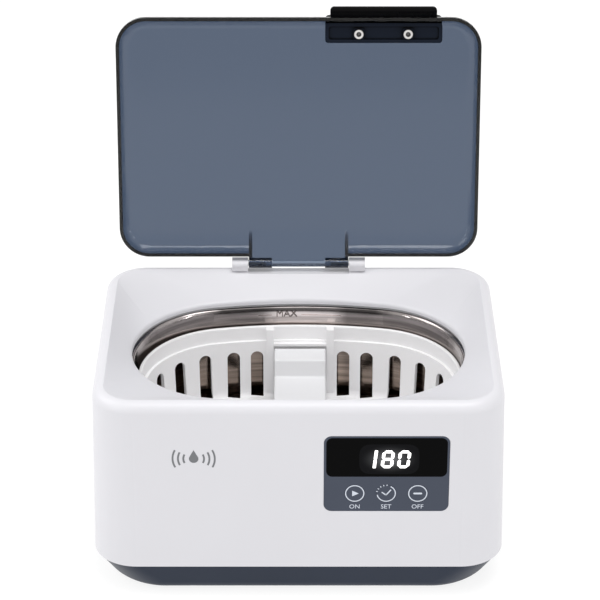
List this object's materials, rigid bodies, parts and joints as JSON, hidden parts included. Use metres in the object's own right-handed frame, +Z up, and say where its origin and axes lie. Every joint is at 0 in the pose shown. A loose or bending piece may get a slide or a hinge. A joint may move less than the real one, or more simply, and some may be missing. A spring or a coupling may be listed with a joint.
{
  "type": "ultrasonic cleaner",
  "caption": "Tabletop ultrasonic cleaner: white drafted housing over an oval steel tank, with a tinted hinged lid, a slotted lift-out basket and a keyed timer display.",
  "frame": {"origin": "on the resting surface under the middle of the housing's footprint; the base tray's flat underside is 1.2 mm above it and the rubber feet touch it", "axes": "+Z up, the front panel faces -Y, +X to the right seen from the front"},
  "size_m": [0.2038, 0.1771, 0.2445],
  "materials": {
    "white_shell": "satin white moulded plastic",
    "slate_base": "dark slate moulded plastic",
    "foot_rubber": "soft black rubber",
    "zinc_screw": "zinc-plated steel",
    "black_nylon": "black nylon",
    "nickel_pin": "nickel-plated",
    "tank_steel": "polished deep-drawn stainless steel",
    "seal_rubber": "grey silicone",
    "zinc_plate": "zinc-plated strip",
    "aluminium_plate": "turned aluminium",
    "piezo_ceramic": "fired ceramic with silver face",
    "solder_tab": "tinned",
    "circuit_board": "green solder mask",
    "ferrite": "dark sintered ferrite",
    "copper_winding": "enamelled copper wire",
    "capacitor_can": "sleeved aluminium can",
    "film_capacitor": "epoxy-dipped",
    "heatsink_aluminium": "plain aluminium",
    "black_package": "moulded epoxy",
    "fuse_glass": "clear glass tube",
    "header_nylon": "natural nylon",
    "slate_panel": "satin slate plastic",
    "black_window": "gloss black acrylic",
    "slate_key": "satin slate plastic with a printed ring",
    "display_block": "black display block",
    "smoke_lid": "smoke-tinted translucent plastic",
    "black_tab": "gloss black",
    "smoke_bracket": "dark tinted",
    "handle_screw": "nickel-plated",
    "hinge_steel": "drawn steel",
    "white_basket": "white moulded polypropylene",
    "white_rest": "white moulded polypropylene"
  },
  "bodies": {
    "housing": {"upper_housing": "white_shell", "base_tray": "slate_base", "rubber_feet": "foot_rubber", "housing_screws": "zinc_screw", "power_inlet": "black_nylon", "inlet_pins": "nickel_pin", "tank": "tank_steel", "tank_seal": "seal_rubber", "tank_clamps": "zinc_plate", "clamp_screws": "zinc_screw", "transducer_plate": "aluminium_plate", "piezo_disc": "piezo_ceramic", "transducer_tabs": "solder_tab", "driver_board": "circuit_board", "board_screws": "zinc_screw", "transformer_core": "ferrite", "transformer_winding": "copper_winding", "output_choke": "copper_winding", "bulk_capacitor": "capacitor_can", "film_capacitors": "film_capacitor", "heatsink": "heatsink_aluminium", "power_transistors": "black_package", "fuse": "fuse_glass", "rectifier": "black_package", "cable_header": "header_nylon", "fascia": "slate_panel", "display_window": "black_window", "display_board": "circuit_board", "led_display_block": "display_block", "tact_switches": "black_package", "display_board_screws": "zinc_screw", "hinge_pins": "hinge_steel"},
    "lid": {"lid_shell": "smoke_lid", "handle_tab": "black_tab", "handle_bracket": "smoke_bracket", "handle_screws": "handle_screw"},
    "basket": {"basket": "white_basket"},
    "watch_rest": {"watch_rest": "white_rest"},
    "on_key": {"on_key": "slate_key"},
    "set_key": {"set_key": "slate_key"},
    "off_key": {"off_key": "slate_key"}
  },
  "joints": [
    {"name": "lid_hinge", "type": "hinge", "parent": "housing", "child": "lid", "pos_m": [0, 0.0692, 0.1123], "axis": [-1, 0, 0], "range_deg": [-100.3, 0]},
    {"name": "basket_lift", "type": "slide", "parent": "housing", "child": "basket", "axis": [0, 0, 1], "range_m": [0, 0.065]},
    {"name": "watch_rest_lift", "type": "slide", "parent": "basket", "child": "watch_rest", "axis": [0, 0, 1], "range_m": [0, 0.045]},
    {"name": "on_key_press", "type": "slide", "parent": "housing", "child": "on_key", "axis": [0, 0.9998, -0.0213], "range_m": [0, 0.0003], "stiffness_N_per_m": 900},
    {"name": "set_key_press", "type": "slide", "parent": "housing", "child": "set_key", "axis": [0, 0.9998, -0.0213], "range_m": [0, 0.0003], "stiffness_N_per_m": 900},
    {"name": "off_key_press", "type": "slide", "parent": "housing", "child": "off_key", "axis": [0, 0.9998, -0.0213], "range_m": [0, 0.0003], "stiffness_N_per_m": 900}
  ]
}
